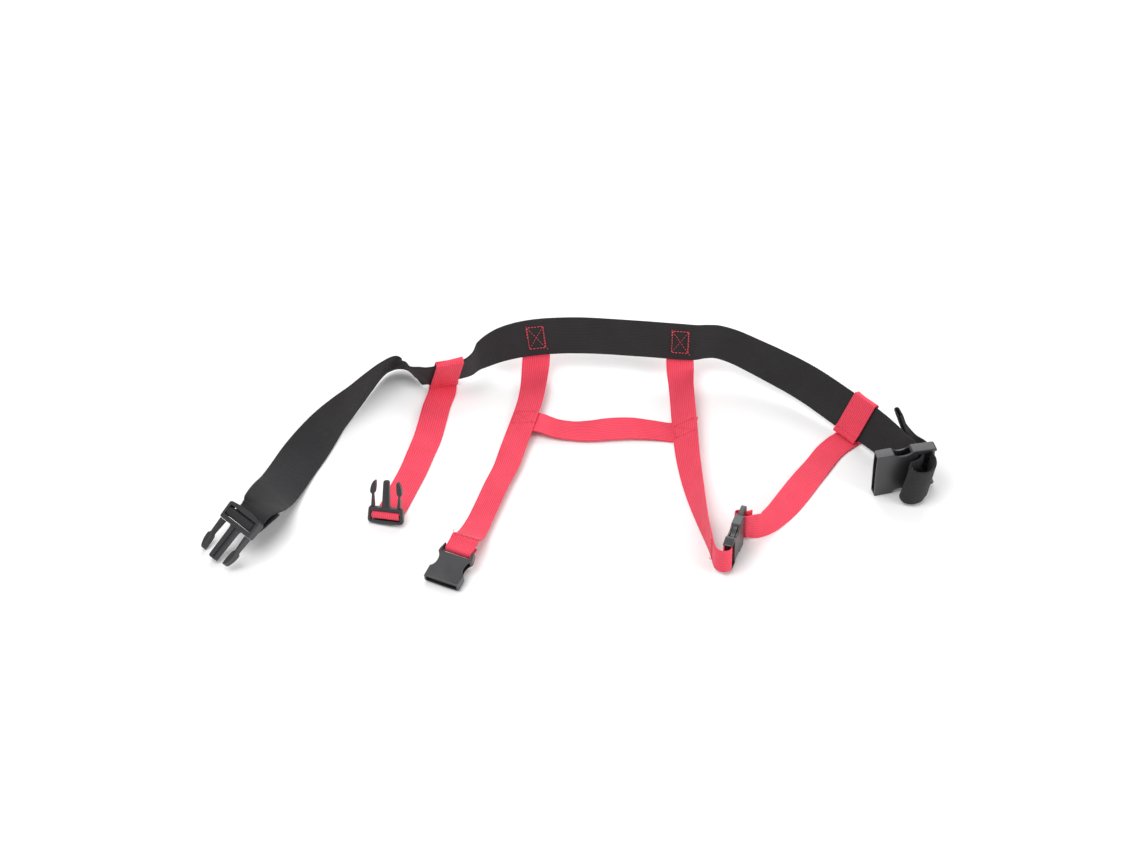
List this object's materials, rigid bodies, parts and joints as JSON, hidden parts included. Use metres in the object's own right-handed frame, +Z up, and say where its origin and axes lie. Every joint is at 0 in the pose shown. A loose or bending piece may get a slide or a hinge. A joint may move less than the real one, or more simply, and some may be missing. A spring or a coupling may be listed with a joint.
{
  "type": "waist and leg harness",
  "caption": "Black elastic waist belt with a large side-release buckle and two red webbing leg loops with small side-release buckles, laid out open.",
  "frame": {"origin": "on the floor under the middle of the laid-out harness", "axes": "+X to the right along the belt, +Y away from the leg straps, towards the belt's middle, +Z up"},
  "size_m": [0.6499, 0.3001, 0.0621],
  "materials": {
    "elastic": "ribbed black elastic",
    "red_webbing": "ribbed red webbing",
    "buckle_plastic": "moulded satin black",
    "thread": "red sewing thread"
  },
  "bodies": {
    "harness": {"belt_left": "elastic", "belt_centre": "elastic", "belt_right": "elastic", "belt_hem": "elastic", "inner_strap_left": "red_webbing", "inner_strap_right": "red_webbing", "cross_strap": "red_webbing", "outer_strap_right": "red_webbing", "keeper_right": "red_webbing", "keeper_stitch_right": "thread", "right_male_frame": "buckle_plastic", "right_female": "buckle_plastic", "belt_stitch_left": "thread", "belt_stitch_right": "thread", "cross_stitch_left": "thread", "cross_stitch_right": "thread", "end_stitch_left": "thread", "end_stitch_right": "thread"},
    "big_male": {"big_male_frame": "buckle_plastic"},
    "big_male_prong_a": {"big_male_prong_a": "buckle_plastic"},
    "big_male_prong_b": {"big_male_prong_b": "buckle_plastic"},
    "big_female": {"big_female": "buckle_plastic"},
    "left_female": {"left_female": "buckle_plastic"},
    "left_keeper": {"keeper_left": "red_webbing", "keeper_stitch_left": "thread", "outer_strap_left": "red_webbing"},
    "left_male": {"left_male_frame": "buckle_plastic"},
    "left_male_prong_a": {"left_male_prong_a": "buckle_plastic"},
    "left_male_prong_b": {"left_male_prong_b": "buckle_plastic"},
    "right_male_prong_a": {"right_male_prong_a": "buckle_plastic"},
    "right_male_prong_b": {"right_male_prong_b": "buckle_plastic"}
  },
  "joints": [
    {"name": "big_male_swing", "type": "hinge", "parent": "harness", "child": "big_male", "pos_m": [-0.2883, -0.0865, 0.0273], "axis": [-0.5999, 0.7849, -0.155], "range_deg": [-10, 0]},
    {"name": "big_female_swing", "type": "hinge", "parent": "harness", "child": "big_female", "pos_m": [0.3138, -0.0105, 0.0243], "axis": [0.0141, -0.0512, 0.9986], "range_deg": [-4, 4]},
    {"name": "left_female_swing", "type": "hinge", "parent": "harness", "child": "left_female", "pos_m": [-0.0976, -0.1106, 0.0126], "axis": [-0.9013, 0.4333, -0.0002], "range_deg": [-25, 50]},
    {"name": "left_keeper_slide", "type": "slide", "parent": "harness", "child": "left_keeper", "axis": [0.9777, 0.1687, 0.1247], "range_m": [-0.0006, 0.002]},
    {"name": "left_male_swing", "type": "hinge", "parent": "left_keeper", "child": "left_male", "pos_m": [-0.1635, -0.0603, 0.0088], "axis": [0.9619, -0.258, 0.0899], "range_deg": [-6, 0]},
    {"name": "big_male_prong_a_flex", "type": "hinge", "parent": "big_male", "child": "big_male_prong_a", "pos_m": [-0.28313, -0.10781, 0.02452], "axis": [-0.5176, -0.2331, 0.8233], "range_deg": [-6, 0], "stiffness_Nm_per_rad": 0.6},
    {"name": "big_male_prong_b_flex", "type": "hinge", "parent": "big_male", "child": "big_male_prong_b", "pos_m": [-0.30641, -0.07736, 0.01851], "axis": [-0.5176, -0.2331, 0.8233], "range_deg": [0, 6], "stiffness_Nm_per_rad": 0.6},
    {"name": "left_male_prong_a_flex", "type": "hinge", "parent": "left_male", "child": "left_male_prong_a", "pos_m": [-0.17485, -0.05322, 0.01601], "axis": [-0.2715, -0.8651, 0.4217], "range_deg": [-8, 0], "stiffness_Nm_per_rad": 0.4},
    {"name": "left_male_prong_b_flex", "type": "hinge", "parent": "left_male", "child": "left_male_prong_b", "pos_m": [-0.15158, -0.05946, 0.01819], "axis": [-0.2715, -0.8651, 0.4217], "range_deg": [0, 8], "stiffness_Nm_per_rad": 0.4},
    {"name": "right_male_prong_a_flex", "type": "hinge", "parent": "harness", "child": "right_male_prong_a", "pos_m": [0.14736, -0.08779, 0.0048], "axis": [0.9508, -0.3099, 0], "range_deg": [-8, 0], "stiffness_Nm_per_rad": 0.4},
    {"name": "right_male_prong_b_flex", "type": "hinge", "parent": "harness", "child": "right_male_prong_b", "pos_m": [0.14736, -0.08779, 0.029], "axis": [0.9508, -0.3099, 0], "range_deg": [0, 8], "stiffness_Nm_per_rad": 0.4}
  ]
}
